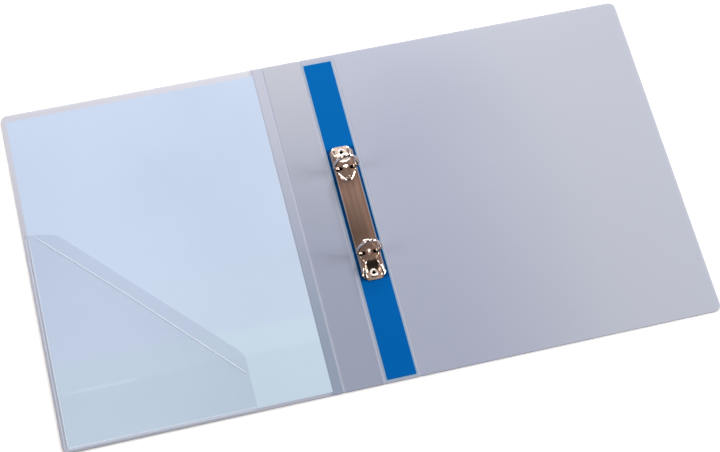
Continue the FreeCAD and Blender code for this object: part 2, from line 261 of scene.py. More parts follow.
class Shader:
    """A node material: short calls that add nodes and return their output sockets."""

    def __init__(self, name, **constants):
        self.material = bpy.data.materials.new(name)
        self.material.use_nodes = True
        self.tree = self.material.node_tree
        self.principled = self.tree.nodes["Principled BSDF"]
        for socket, number in constants.items():
            self.principled.inputs[socket.replace("_", " ")].default_value = number
        self.place = self.tree.nodes.new("ShaderNodeTexCoord").outputs["Object"]

    def node(self, kind, inputs=(), **settings):
        """A new node; each input is a number, or the output socket to link to it."""
        made = self.tree.nodes.new(kind)
        for key, setting in settings.items():
            setattr(made, key, setting)
        for key, source in dict(inputs).items():
            if isinstance(source, bpy.types.NodeSocket):
                self.tree.links.new(source, made.inputs[key])
            else:
                made.inputs[key].default_value = source
        return made

    def set(self, socket, source):
        """Links source to one of the shader's own sockets."""
        self.tree.links.new(source, self.principled.inputs[socket])

    def stretched(self, x, y, z):
        """Object coordinates multiplied along each axis."""
        made = self.node("ShaderNodeMapping", {"Vector": self.place, "Scale": (x, y, z)})
        return made.outputs["Vector"]

    def noise(self, scale, detail=3.0, rough=0.5, vector=None):
        made = self.node("ShaderNodeTexNoise", {"Vector": vector or self.place, "Scale": scale,
                                                "Detail": detail, "Roughness": rough})
        return made.outputs["Fac"]

    def math(self, kind, a, b=0.0):
        return self.node("ShaderNodeMath", {0: a, 1: b}, operation=kind).outputs[0]

    def spread(self, source, low, reach):
        """From low where source is 0 to low + reach where it is 1."""
        return self.math("ADD", self.math("MULTIPLY", source, reach), low)

    def axis(self, name):
        return self.node("ShaderNodeSeparateXYZ", {0: self.place}).outputs[name]

    def step(self, source, start, end):
        """0 where source is at start, 1 at end, smooth between."""
        made = self.node("ShaderNodeMapRange", {"Value": source, "From Min": start,
                                                "From Max": end}, interpolation_type="SMOOTHSTEP")
        return made.outputs["Result"]

    def band(self, source, low, high, soft):
        """1 between low and high, 0 outside, with soft borders."""
        rise = self.step(source, low - soft / 2, low + soft / 2)
        fall = self.step(source, high + soft / 2, high - soft / 2)
        return self.math("MULTIPLY", rise, fall)

    def mix(self, share, a, b, kind="MIX"):
        """Colour a where share is 0, b where it is 1; or a blended with b."""
        made = self.node("ShaderNodeMix", data_type="RGBA", blend_type=kind)
        for socket, source in ((0, share), (6, a), (7, b)):
            if isinstance(source, bpy.types.NodeSocket):
                self.tree.links.new(source, made.inputs[socket])
            else:
                made.inputs[socket].default_value = source
        return made.outputs[2]

    def faint(self, share, strength, a, b):
        """Colour a with up to strength of b where share is 1."""
        return self.mix(self.math("MULTIPLY", share, strength), a, b)

    def shaded(self, share, colour, factor):
        """The colour, multiplied by a red, green, blue factor where share is 1."""
        return self.mix(share, colour, self.mix(1.0, colour, (*factor, 1.0), "MULTIPLY"))

    def ramp(self, share, stops):
        made = self.node("ShaderNodeValToRGB", {"Fac": share})
        set_stops(made.color_ramp, stops)
        return made.outputs["Color"]

    def bump(self, height, strength, distance, normal=None):
        inputs = {"Height": height, "Strength": strength, "Distance": distance}
        if normal is not None:
            inputs["Normal"] = normal
        return self.node("ShaderNodeBump", inputs).outputs["Normal"]


# ---------------------------------------------------------------- materials

FROST_ALPHA = 0.72
FROST_COLOUR = linear(157, 163, 181)
PLASTIC_IOR = 1.49


def frosted_look(shader, colour, crease_lines=()):
    """Frosted polypropylene: cloudy colour, fine moulded grain, creases whitened partly by stress
    and partly as painted highlight.
    """
    whitening_and_highlight_half = 1.3 * MM
    whitening_and_highlight_soft = 2.0 * MM
    x = shader.axis("X")
    clouds = shader.noise(9.0, 2.0)
    colour = shader.shaded(shader.math("MULTIPLY", clouds, 0.35), colour, (0.90, 0.91, 0.94))
    # creases whitened partly by real stress whitening and partly as a painted highlight
    for crease in crease_lines:
        near = shader.band(x, crease - whitening_and_highlight_half, crease + whitening_and_highlight_half, whitening_and_highlight_soft)
        colour = shader.faint(near, 0.3, colour, linear(178, 184, 202))
    shader.set("Base Color", colour)
    grain = shader.noise(2600.0, 3.0, 0.6)
    shader.set("Roughness", shader.spread(grain, 0.32, 0.16))
    waves = shader.noise(7.0, 1.0)
    soft = shader.bump(waves, 0.25, 4.0 * MM)
    shader.set("Normal", shader.bump(grain, 0.35, 0.03 * MM, soft))
    return shader.material


def frosted_material(name, crease_lines, painted_light_drifts=()):
    """Frosted plastic with drifts of tone that are painted light and shade.

    crease_lines: the x of each crease that whitens it, partly as stress whitening and partly as
    painted highlight.
    painted_light_drifts: painted light and shade, each an x, y way, where its change of tone
    starts and ends, and the two tones.
    """
    shader = Shader(name, Alpha=FROST_ALPHA, IOR=PLASTIC_IOR)
    colour = FROST_COLOUR
    for way, start, end, start_tone, end_tone in painted_light_drifts:
        reach = shader.node("ShaderNodeVectorMath", {0: shader.place, 1: (*way, 0.0)},
                            operation="DOT_PRODUCT").outputs["Value"]
        tone = shader.mix(shader.step(reach, start, end), (*start_tone, 1.0), (*end_tone, 1.0))
        colour = shader.mix(1.0, colour, tone, "MULTIPLY")
    return frosted_look(shader, colour, crease_lines)


def spine_material():
    """Frosted plastic with painted blue light near the strip lying on it, as if scattered from
    the strip into the plastic.
    """
    blue_reach = 2.0 * MM
    shader = Shader("frosted_spine", Alpha=FROST_ALPHA, IOR=PLASTIC_IOR)
    low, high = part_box("spine_strip")
    y = shader.axis("Y")
    past_side = shader.math("SUBTRACT", shader.math("ABSOLUTE", shader.axis("X")), high.x)
    past_end = shader.math("MAXIMUM", shader.math("SUBTRACT", y, high.y),
                           shader.math("SUBTRACT", low.y, y))
    outside = shader.math("MAXIMUM", past_side, past_end)
    # painted blue light from the strip, fading away from its edges
    blue = shader.step(outside, blue_reach, 0.0)
    return frosted_look(shader, shader.mix(blue, FROST_COLOUR, linear(124, 160, 190)))


def front_cover_material(paper, crease):
    """Frosted plastic with the pale blue sheet behind it showing through, and painted light on
    the bare plastic around it, paler towards the top.
    """
    shader = Shader("frosted_front_cover", Alpha=FROST_ALPHA, IOR=PLASTIC_IOR)
    x = shader.axis("X")
    y = shader.axis("Y")
    low, high = paper
    soft = 0.5 * MM
    shadow_width = 0.9 * MM
    shadow_soft = 0.6 * MM
    inside = shader.math("MULTIPLY", shader.band(x, low.x, high.x, soft),
                         shader.band(y, low.y, high.y, soft))
    # painted light: the bare plastic around the sheet pales towards the top
    painted_light_upward = shader.step(y, -130 * MM, 150 * MM)
    rim = shader.mix(painted_light_upward, linear(162, 167, 180), linear(190, 192, 203))
    margin = shader.mix(painted_light_upward, linear(132, 146, 167), linear(170, 174, 190))
    outside = shader.mix(shader.step(x, high.x - 4 * MM, high.x), rim, margin)
    shadow = shader.band(x, high.x, high.x + shadow_width, shadow_soft)
    outside = shader.faint(shadow, 0.4, outside, linear(112, 124, 146))
    colour = shader.mix(inside, outside, sheet_print(shader, y, low.y))
    return frosted_look(shader, colour, (crease,))


def sheet_print(shader, y, bottom):
    """Pale blue tones of the printed sheet, with a lighter band across its lower part."""
    sheet_height = 297 * MM
    band_low, band_high = bottom + 46 * MM, bottom + 69 * MM
    streak_low, streak_high = bottom + 44.5 * MM, bottom + 47 * MM
    hue_low, hue_high = bottom + 68 * MM, bottom + 71 * MM
    shade_start, shade_full = -230 * MM, -100 * MM
    streak_left, streak_right = -259 * MM, -205 * MM
    x = shader.axis("X")
    tones = shader.mix(shader.step(y, bottom, bottom + sheet_height), linear(195, 211, 230),
                       linear(180, 197, 221))
    tones = shader.shaded(shader.step(x, shade_start, shade_full), tones, (0.89, 0.90, 0.91))
    tones = shader.faint(shader.noise(16.0, 2.0), 0.3, tones, linear(198, 213, 234))
    band = shader.band(y, band_low, band_high, 3 * MM)
    tones = shader.faint(band, 0.16, tones, linear(206, 222, 240))
    streak = shader.math("MULTIPLY", shader.band(y, streak_low, streak_high, 2 * MM),
                         shader.band(x, streak_left, streak_right, 14 * MM))
    tones = shader.faint(streak, 0.45, tones, linear(214, 228, 244))
    return shader.shaded(shader.step(y, hue_high, hue_low), tones, (0.965, 1.0, 0.96))


def film_material(name, colour, alpha, roughness):
    """Clear film: faint tint, slow waves and a few fine scuffs."""
    shader = Shader(name, Alpha=alpha, IOR=PLASTIC_IOR)
    haze = shader.math("MULTIPLY", shader.noise(30.0, 3.0), 0.12)
    shader.set("Base Color", shader.mix(haze, colour, (0.93, 0.94, 0.97, 1.0)))
    scuffs = shader.noise(60.0, 4.0, 0.7, shader.stretched(1.0, 6.0, 1.0))
    shader.set("Roughness", shader.spread(scuffs, roughness, 0.15))
    waves = shader.noise(25.0, 2.0)
    shader.set("Normal", shader.bump(waves, 0.3, 0.8 * MM))
    return shader.material


def weld_material():
    """Film melted to the board: whiter and rougher than the film around it."""
    shader = Shader("welded_film", Alpha=0.5, IOR=PLASTIC_IOR)
    speckle = shader.noise(1500.0, 2.0)
    shader.set("Base Color", shader.mix(speckle, linear(184, 192, 212), linear(232, 236, 246)))
    shader.set("Roughness", shader.spread(speckle, 0.35, 0.2))
    shader.set("Normal", shader.bump(speckle, 0.4, 0.1 * MM))
    return shader.material


def score_material():
    """Film whitened where a tool has pressed it; along the pocket's fold line the whiteness is
    partly painted highlight.
    """
    shader = Shader("pressed_film_and_highlight", Alpha=0.6, IOR=PLASTIC_IOR)
    speckle = shader.noise(1200.0, 2.0)
    shader.set("Base Color", shader.mix(speckle, linear(222, 232, 246), linear(250, 252, 255)))
    shader.set("Roughness", shader.spread(speckle, 0.45, 0.2))
    shader.set("Normal", shader.bump(speckle, 0.3, 0.05 * MM))
    return shader.material


def paper_material(low):
    """The printed sheet itself; low is the low corner of its box."""
    shader = Shader("insert_sheet_paper", Specular_IOR_Level=0.3)
    shader.set("Base Color", sheet_print(shader, shader.axis("Y"), low.y))
    fibres = shader.noise(900.0, 4.0, 0.7)
    shader.set("Roughness", shader.spread(fibres, 0.5, 0.2))
    shader.set("Normal", shader.bump(fibres, 0.25, 0.04 * MM))
    return shader.material


def strip_material(low, high):
    """Satin blue card between low and high, a little deeper in tone towards its foot, with
    painted shade beside the mechanism.
    """
    shader = Shader("blue_satin_strip", Specular_IOR_Level=0.015)
    y = shader.axis("Y")
    tones = shader.mix(shader.step(y, low.y, high.y), linear(0, 78, 144), linear(0, 85, 151))
    tones = shader.faint(shader.noise(120.0, 4.0, 0.6), 0.25, tones, linear(0, 90, 160))
    # painted shade beside the mechanism, which stands in its light
    shade_start, shade_full = 64.5 * MM, 60.0 * MM
    shade = shader.step(shader.math("ABSOLUTE", y), shade_start, shade_full)
    tones = shader.shaded(shade, tones, (0.5, 0.42, 0.45))
    shader.set("Base Color", tones)
    grain = shader.noise(1800.0, 3.0)
    shader.set("Roughness", shader.spread(grain, 0.5, 0.2))
    shader.set("Normal", shader.bump(grain, 0.3, 0.03 * MM))
    return shader.material


def plate_material():
    """Nickel-plated pressed steel with fine rolling streaks along its length."""
    shader = Shader("nickel_plate", Metallic=1.0)
    streaks = shader.noise(1.0, 4.0, 0.6, shader.stretched(900.0, 14.0, 300.0))
    broad = shader.noise(1.0, 2.0, 0.5, shader.stretched(260.0, 7.0, 60.0))
    tint = shader.ramp(broad, ((0.3, linear(211, 193, 180)), (0.5, linear(235, 215, 203)),
                               (0.7, linear(250, 223, 205))))
    tint = shader.faint(streaks, 0.35, tint, linear(254, 248, 237))
    # painted reflection: the plating is paler towards its upper ring and its right edge
    y = shader.axis("Y")
    reach = 60 * MM
    place = shader.step(y, -reach, reach)
    tones = shader.ramp(place, ((0.0, (0.69, 0.69, 0.69, 1.0)), (0.25, (0.52, 0.51, 0.50, 1.0)),
                                (0.74, (1.0, 1.0, 1.0, 1.0)), (0.84, (0.69, 0.69, 0.69, 1.0))))
    edge = shader.math("MULTIPLY", shader.step(shader.axis("X"), 2.5 * MM, 6.5 * MM), 0.8)
    tones = shader.mix(edge, tones, (0.86, 0.86, 0.86, 1.0))
    shader.set("Base Color", shader.mix(1.0, tint, tones, "MULTIPLY"))
    # duller past the rings
    dull_start, dull_full = 44 * MM, 56 * MM
    ends = shader.step(shader.math("ABSOLUTE", y), dull_start, dull_full)
    rough = shader.math("ADD", shader.spread(streaks, 0.08, 0.10),
                        shader.math("MULTIPLY", ends, 0.12))
    shader.set("Roughness", rough)
    shader.set("Normal", shader.bump(streaks, 0.12, 0.02 * MM))
    return shader.material


def wire_material():
    """Bright nickel on drawn wire, with faint handling marks."""
    shader = Shader("bright_nickel_wire", Metallic=1.0)
    marks = shader.noise(700.0, 4.0, 0.65)
    shader.set("Base Color", shader.faint(marks, 0.35, linear(214, 199, 190),
                                          linear(200, 186, 176)))
    shader.set("Roughness", shader.spread(marks, 0.07, 0.08))
    shader.set("Normal", shader.bump(marks, 0.08, 0.02 * MM))
    return shader.material


def blade_material():
    """Bare spring steel, ground along its length; its dark colour is painted shade for the ring
    slots it shows through.
    """
    shader = Shader("spring_steel", Metallic=1.0)
    lines = shader.noise(1.0, 5.0, 0.7, shader.stretched(3000.0, 30.0, 500.0))
    shader.set("Base Color", shader.mix(lines, linear(34, 31, 30), linear(62, 57, 54)))
    shader.set("Roughness", shader.spread(lines, 0.45, 0.2))
    shader.set("Normal", shader.bump(lines, 0.3, 0.02 * MM))
    return shader.material


# ---------------------------------------------------------------- cover sheet

board_low, board_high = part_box("back_cover_panel")


def cut_holes(piece, cutters):
    """Cuts closed shapes, given as vertices and faces, out of a piece."""
    cutter = add_mesh("cutter", *join_parts(cutters), piece.data.materials[0], "nickel_plate")
    cut = piece.modifiers.new("cut", "BOOLEAN")
    cut.operation = "DIFFERENCE"
    cut.solver = "EXACT"
    cut.object = cutter
    applied(piece)
    bpy.data.objects.remove(cutter)


def smooth_again(piece):
    """Smooth shading, sharp at steep edges, on a piece that has been cut."""
    piece.data.shade_smooth()
    piece.data.set_sharp_from_angle(angle=math.radians(50))


def rivet_hole_cutters():
    """Upright round cutters through everything that the two rivets hold."""
    radius = 2.05 * MM
    below, above = 1 * MM, 4 * MM
    cutters = []
    for name in ("upper_rivet", "lower_rivet"):
        low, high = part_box(name)
        middle_y = (low.y + high.y) / 2
        cutters.append(loft([[(radius * c, middle_y + radius * s, z) for c, s in circle(40)]
                             for z in (low.z - below, high.z + above)]))
    return cutters


def build_board(name, node, body, creases, material):
    """One panel of the cover sheet; creases says which of its sides, left or right, have one."""
    outer_corner = 6.0 * MM
    crease_corner = 1.1 * MM
    left, right = (crease_corner if side in creases else outer_corner
                   for side in ("left", "right"))
    reach = [CREASE_REACH if side in creases else EDGE_REACH
             for side in ("left", "right", "low", "high")]
    slab = sheet_slab(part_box(node), (right, left, left, right), reach, EDGE_DEPTH, LAYER_GAP)
    piece = add_mesh(name, *slab, material, "frosted_polypropylene", 60)
    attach(piece, body)
    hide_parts(node)
    return piece


def build_crease_web(name, left_node, right_node, material):
    """The thin pressed hinge between two panels, thinnest in its middle."""
    x_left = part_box(left_node)[1].x
    x_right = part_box(right_node)[0].x
    middle_z = (board_low.z + board_high.z) / 2
    tuck = 0.3 * MM
    end_gap = 0.4 * MM
    top_height, top_flare = 0.22 * MM, 0.12 * MM
    bottom_depth, bottom_flare = 0.12 * MM, 0.10 * MM
    steps = 12
    top, bottom = [], []
    for i in range(steps + 1):
        x = x_left - tuck + (x_right - x_left + 2 * tuck) * i / steps
        side = abs(2.0 * i / steps - 1.0)
        top.append((x, middle_z + top_height + top_flare * side ** 2))
        bottom.append((x, middle_z - bottom_depth - bottom_flare * side ** 2))
    section = top + bottom[::-1]
    loops = [[(x, y, z) for x, z in section]
             for y in (board_low.y + end_gap, board_low.y / 2, 0.0, board_high.y / 2,
                       board_high.y - end_gap)]
    piece = add_mesh(name, *loft(loops), material, "frosted_polypropylene", 50)
    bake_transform(piece)
    return piece


def crease_between(left_node, right_node):
    """The x midway between two panels."""
    return (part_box(left_node)[1].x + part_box(right_node)[0].x) / 2


paper_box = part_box("front_insert_sheet")
outer_crease_x = crease_between("front_cover_panel", "front_hinge_flap")
inner_crease_x = crease_between("front_hinge_flap", "spine_panel")
back_crease_x = crease_between("spine_panel", "back_cover_panel")

# painted light and shade: the flap pales towards its top, the back cover towards its outer edge
# and its upper left
UNCHANGED = (1.0, 1.0, 1.0)
flap_drifts = (((0, 1), -50 * MM, 165 * MM, (0.765, 0.80, 0.84), (1.13, 1.10, 1.03)),)
back_drifts = (
    ((1, 0), 40 * MM, 210 * MM, (0.93, 0.94, 0.97), (1.16, 1.15, 1.07)),
    ((0, 1), -20 * MM, 160 * MM, UNCHANGED, (0.985, 0.98, 0.98)),
    ((-0.6, 0.8), 10 * MM, 100 * MM, UNCHANGED, (1.12, 1.11, 1.07)),
)

build_board("front_cover_board", "front_cover_panel", "front_cover", ("right",),
            front_cover_material(paper_box, outer_crease_x))
build_board("front_flap_board", "front_hinge_flap", "flap", ("left", "right"),
            frosted_material("frosted_flap", (outer_crease_x, inner_crease_x), flap_drifts))
spine_board = build_board("spine_board", "spine_panel", "spine", ("left", "right"),
                          spine_material())
cut_holes(spine_board, rivet_hole_cutters())
build_board("back_cover_board", "back_cover_panel", "back_cover", ("left",),
            frosted_material("frosted_back_cover", (back_crease_x,), back_drifts))

web_material = frosted_material("pressed_crease", (outer_crease_x, inner_crease_x, back_crease_x))
for web, left_node, right_node, left_body, right_body in (
        ("outer_crease_web", "front_cover_panel", "front_hinge_flap", "front_cover", "flap"),
        ("inner_crease_web", "front_hinge_flap", "spine_panel", "flap", "spine"),
        ("back_crease_web", "spine_panel", "back_cover_panel", "spine", "back_cover")):
    build_crease_web(web, left_node, right_node, web_material)

# ---------------------------------------------------------------- sleeve, sheet and pocket

clear_film = film_material("clear_sleeve_film", linear(215, 222, 236), 0.22, 0.12)
pocket_film = film_material("clear_pocket_film", linear(150, 160, 186), 0.07, 0.25)
welded_film = weld_material()
pressed_film_and_highlight = score_material()


def build_front_sleeve():
    """Clear film outside the front cover, welded along three sides with a dotted tool."""
    low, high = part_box("front_sleeve")
    film_top = low.z + 0.13 * MM
    corner = 4.0 * MM
    sharp_corner = 0.6 * MM
    edge_reach, edge_depth = 0.06 * MM, 0.05 * MM
    weld_half, weld_edge = 0.6 * MM, 0.08 * MM
    dot_inset, dot_pitch = 1.5 * MM, 1.6 * MM
    dot_radius, dot_height = 0.42 * MM, 0.02 * MM
    film_box = (Vector((low.x, low.y, low.z + LAYER_GAP)), Vector((high.x, high.y, film_top)))
    parts = [sheet_slab(film_box, (sharp_corner, sharp_corner, corner, sharp_corner),
                        (edge_reach,) * 4, edge_depth)]
    left, right = low.x + weld_half, high.x - weld_half
    bottom, top = low.y + weld_half, high.y - weld_half
    line = [(left, top), (left, bottom), (right, bottom), (right, top)]
    parts.append(strip_along(line, weld_half, film_top - LAYER_GAP, high.z - LAYER_GAP,
                             weld_edge))
    piece = add_mesh("front_sleeve_film", *join_parts(parts), clear_film, "clear_film", 50)
    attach(piece, "front_cover")
    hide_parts("front_sleeve")
    left, right = low.x + dot_inset, high.x - dot_inset
    bottom, top = low.y + dot_inset, high.y - dot_inset
    places = spaced((left, top), (left, low.y + corner), dot_pitch)
    places += spaced((low.x + corner, bottom), (right, bottom), dot_pitch)
    places += spaced((right, bottom), (right, top), dot_pitch)
    dots = studs(places, dot_radius, low.z + LAYER_GAP, -dot_height)
    weld = add_mesh("front_sleeve_weld", *dots, welded_film, "clear_film", 60)
    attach(weld, "front_cover")


def build_insert_sheet():
    """The printed sheet in the sleeve."""
    corner = 0.3 * MM
    edge = 0.05 * MM
    slab = sheet_slab(paper_box, (corner,) * 4, (edge,) * 4, edge)
    piece = add_mesh("insert_sheet", *slab, paper_material(paper_box[0]), "insert_paper", 50)
    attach(piece, "front_cover")
    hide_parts("front_insert_sheet")


def rounded_line(points, radius):
    """The same line of x, y points with each inner corner turned into an arc-like bend."""
    steps = 8
    out = [points[0]]
    for before, here, after in zip(points, points[1:], points[2:]):
        h = Vector(here)
        a = h + (Vector(before) - h).normalized() * radius
        b = h + (Vector(after) - h).normalized() * radius
        for step in range(steps + 1):
            t = step / steps
            place = a * (1 - t) ** 2 + h * 2 * t * (1 - t) + b * t ** 2
            out.append(tuple(place))
    out.append(points[-1])
    return out


def build_inner_pocket():
    """Film pocket with a slanted mouth and a pressed line just inside it."""
    low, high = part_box("inner_pocket")
    left, right = low.x, high.x
    bottom, top = low.y, high.y
    low_side = bottom + 48.8 * MM
    bend = 7 * MM
    film_low = high.z - 0.15 * MM
    edge_reach, edge_depth, flat_reach = 0.10 * MM, 0.04 * MM, 0.6 * MM
    mouth = [(left, top), (left + 9 * MM, top - 0.3 * MM), (left + 26 * MM, top - 4 * MM),
             (right, low_side), (right, bottom)]
    outline = rounded_line(mouth, bend) + [(left, bottom)]
    centre = Vector((sum(p[0] for p in outline), sum(p[1] for p in outline))) / len(outline)
    loops = []
    for shrink, z in ((edge_reach, film_low), (0.0, film_low + edge_depth),
                      (0.0, high.z - edge_depth), (edge_reach, high.z), (flat_reach, high.z)):
        loop = []
        for x, y in outline:
            inward = (centre - Vector((x, y))).normalized() * shrink
            loop.append((x + inward.x, y + inward.y, z))
        loops.append(loop)
    film = add_mesh("inner_pocket_film", *loft(loops), pocket_film, "pocket_film", 50)
    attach(film, "front_cover")
    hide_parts("inner_pocket")
    fold = [(left + 10 * MM, top - 4.4 * MM), (left + 72 * MM, top - 70.4 * MM),
            (right - 3 * MM, low_side - 15.5 * MM)]
    fold_half, fold_height = 0.28 * MM, 0.06 * MM
    # the fold line's whiteness is partly painted highlight
    rib = strip_along(fold, fold_half, high.z - LAYER_GAP, high.z + fold_height, fold_height)
    hem = add_mesh("inner_pocket_hem", *rib, pressed_film_and_highlight, "pocket_film", 60)
    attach(hem, "front_cover")
    bar_half, bar_edge = 0.6 * MM, 0.05 * MM
    bar_line = [(left + bar_half, top - 2 * MM), (left + bar_half, bottom + bar_half),
                (right - bar_half, bottom + bar_half)]
    bars = strip_along(bar_line, bar_half, low.z + LAYER_GAP, film_low + LAYER_GAP, bar_edge)
    weld = add_mesh("inner_pocket_weld", *bars, welded_film, "pocket_film", 60)
    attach(weld, "front_cover")
    dot_radius, dot_height, dot_pitch = 0.55 * MM, 0.05 * MM, 2.4 * MM
    dots_x = left + 3.2 * MM
    dots_y = bottom + 2.4 * MM
    places = spaced((dots_x, top - 3 * MM), (dots_x, bottom + 4 * MM), dot_pitch)
    places += spaced((left + 4 * MM, dots_y), (right - 1 * MM, dots_y), dot_pitch)
    dots = add_mesh("inner_pocket_dots", *studs(places, dot_radius, high.z, dot_height),
                    pressed_film_and_highlight, "pocket_film", 60)
    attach(dots, "front_cover")


build_front_sleeve()
build_insert_sheet()
build_inner_pocket()

# ---------------------------------------------------------------- spine strip


def build_spine_strip():
    """Blue strip down the spine, pierced by the rivets."""
    low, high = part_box("spine_strip")
    corner = 0.8 * MM
    edge_reach, edge_depth = 0.12 * MM, 0.10 * MM
    slab = sheet_slab((low, high), (corner,) * 4, (edge_reach,) * 4, edge_depth, LAYER_GAP)
    piece = add_mesh("spine_strip_card", *slab, strip_material(low, high), "blue_strip", 50)
    cut_holes(piece, rivet_hole_cutters())
    smooth_again(piece)
    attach(piece, "spine")
    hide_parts("spine_strip")


build_spine_strip()

# ---------------------------------------------------------------- ring mechanism

plate_low, plate_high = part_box("mechanism_housing")
ring_low, ring_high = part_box("upper_right_half_ring")
rivet_low, rivet_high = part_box("upper_rivet")
RING_Y = (ring_low.y + ring_high.y) / 2
RIVET_Y = (rivet_low.y + rivet_high.y) / 2
PLATE_HALF = plate_high.x
PLATE_END = plate_high.y
SLOT_X = 6.0 * MM
SLOT_HALF_X = 3.0 * MM
SLOT_HALF_Y = 1.8 * MM
# rings: radius of the wire, foot's distance from the middle, half width and height of the
# widest point of the centre line, turn of the crown arc, and radius of the heel arc
WIRE = 1.4 * MM
FOOT_X = 6.4 * MM
RING_HALF = 9.9 * MM
RING_WAIST = 10.55 * MM
CROWN_TURN = math.radians(50.0)
HEEL_RADIUS = 6.0 * MM


def plate_half_width(s):
    """Half width of the plate at a distance s from its middle; the ends taper."""
    taper = 5.0 * MM
    end_half = 5.5 * MM
    t = max(0.0, (s - (PLATE_END - taper)) / taper)
    return PLATE_HALF - (PLATE_HALF - end_half) * t ** 1.2


def plate_top(t, s):
    """Height of the plate's top above its underside; t is -1 to 1 across, s as above."""
    x = abs(t) * plate_half_width(s)
    crown = plate_high.z - plate_low.z
    tab = 0.8 * MM
    side = 1.6 * MM
    emboss = 0.55 * MM
    arch = side + (crown - emboss - side) * (1.0 - abs(t) ** 7)
    # shield-shaped raised area round each ring, pointed towards the plate's middle
    tip, tip_half = 28.3 * MM, 2.2 * MM
    shield_half = 9.0 * MM
    shield_edge = 0.55 * MM
    half = tip_half + (s - tip) * 0.68
    from_side = (min(half, shield_half) - x) * 0.8
    arch += emboss * ease(0.0, shield_edge, min(from_side, s - tip))
    # round boss with a button between the ring's feet
    boss_height, boss_top, boss_foot = 0.132 * MM, 2.1 * MM, 2.8 * MM
    button_height, button_top, button_foot = 0.45 * MM, 0.3 * MM, 1.25 * MM
    from_boss = math.hypot(x, s - RING_Y)
    arch += boss_height * (1.0 - ease(boss_top, boss_foot, from_boss))
    arch += button_height * (1.0 - ease(button_top, button_foot, from_boss))
    # a round-topped hollow for the rivet, between two side walls that run on to the end
    hollow_start, hollow_top, hollow_floor = 45.8 * MM, 46.3 * MM, 56.0 * MM
    hollow_half, hollow_flare, flare_end = 5.2 * MM, 0.8 * MM, 58.0 * MM
    wall_start, wall_end, wall_soft = 52.0 * MM, 62.8 * MM, 0.9 * MM
    round_end = hollow_top + hollow_half
    middle = tab + (arch - tab) * (1.0 - ease(hollow_start, hollow_floor, s))
    walls = tab + (arch - tab) * (1.0 - ease(wall_start, wall_end, s))
    if s < round_end:
        channel = math.sqrt(max(hollow_half ** 2 - (round_end - s) ** 2, 0.0))
    else:
        channel = hollow_half + hollow_flare * ease(round_end, flare_end, s)
    outside = ease(channel - wall_soft, channel + wall_soft, x)
    return max(middle + (walls - middle) * outside, tab)


def slot_cutter(x, y):
    """A rounded upright block that cuts one ring slot."""
    squareness = 0.75
    loops = []
    for z in (plate_low.z + 1.0 * MM, plate_high.z + 3.0 * MM):
        loop = []
        for c, s in circle(28):
            px = SLOT_HALF_X * math.copysign(abs(c) ** squareness, c)
            py = SLOT_HALF_Y * math.copysign(abs(s) ** squareness, s)
            loop.append((x + px, y + py, z))
        loops.append(loop)
    return loft(loops)


def build_plate():
    """The pressed housing as one shell with its slots and rivet holes cut through."""
    columns = 72
    rows = 300
    wall = 0.55 * MM
    merge = 0.001 * MM
    vertices, faces = [], []
    for row in range(-1, rows + 2):
        share = min(max(row / rows, 0.0), 1.0)
        y = -PLATE_END + 2 * PLATE_END * share
        s = abs(y)
        for column in range(-1, columns + 2):
            t = 2.0 * min(max(column / columns, 0.0), 1.0) - 1.0
            skirt = row in (-1, rows + 1) or column in (-1, columns + 1)
            z = plate_low.z + LAYER_GAP if skirt else plate_low.z + plate_top(t, s)
            vertices.append((t * plate_half_width(s), y, z))
    wide = columns + 3
    for row in range(rows + 2):
        for column in range(columns + 2):
            a = row * wide + column
            faces.append((a, a + 1, a + wide + 1, a + wide))
    plate = add_mesh("mechanism_plate", vertices, faces, plate_material(), "nickel_plate", 55)
    build = bmesh.new()
    build.from_mesh(plate.data)
    bmesh.ops.remove_doubles(build, verts=build.verts, dist=merge)
    build.to_mesh(plate.data)
    build.free()
    shell = plate.modifiers.new("shell", "SOLIDIFY")
    shell.thickness = wall
    shell.offset = -1.0
    applied(plate)
    cutters = rivet_hole_cutters()
    for y in (-RING_Y, RING_Y):
        for x in (-SLOT_X, SLOT_X):
            cutters.append(slot_cutter(x, y))
    cut_holes(plate, cutters)
    smooth_again(plate)
    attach(plate, "spine")
    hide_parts("mechanism_housing")


def ring_path(top_z, waist_z):
    """Centre line of the right half ring as x, z and outward angle: crown, side and heel arcs."""
    steps = 16
    quarter = math.pi / 2
    sine, cosine = math.sin(CROWN_TURN), math.cos(CROWN_TURN)
    climb = (top_z - waist_z) * sine - RING_HALF * (1.0 - cosine)
    side_radius = climb / (sine + cosine - 1.0)
    crown_radius = (RING_HALF - (1.0 - sine) * side_radius) / sine
    heel_turn = math.acos((FOOT_X - RING_HALF + HEEL_RADIUS) / HEEL_RADIUS)
    arcs = ((0.0, top_z - crown_radius, crown_radius, 0.0, CROWN_TURN),
            (RING_HALF - side_radius, waist_z, side_radius, CROWN_TURN, quarter),
            (RING_HALF - HEEL_RADIUS, waist_z, HEEL_RADIUS, quarter, quarter + heel_turn))
    path = []
    for centre_x, centre_z, radius, start, end in arcs:
        for i in range(1 if path else 0, steps + 1):
            angle = start + (end - start) * i / steps
            path.append((centre_x + radius * math.sin(angle),
                         centre_z + radius * math.cos(angle), angle))
    return path


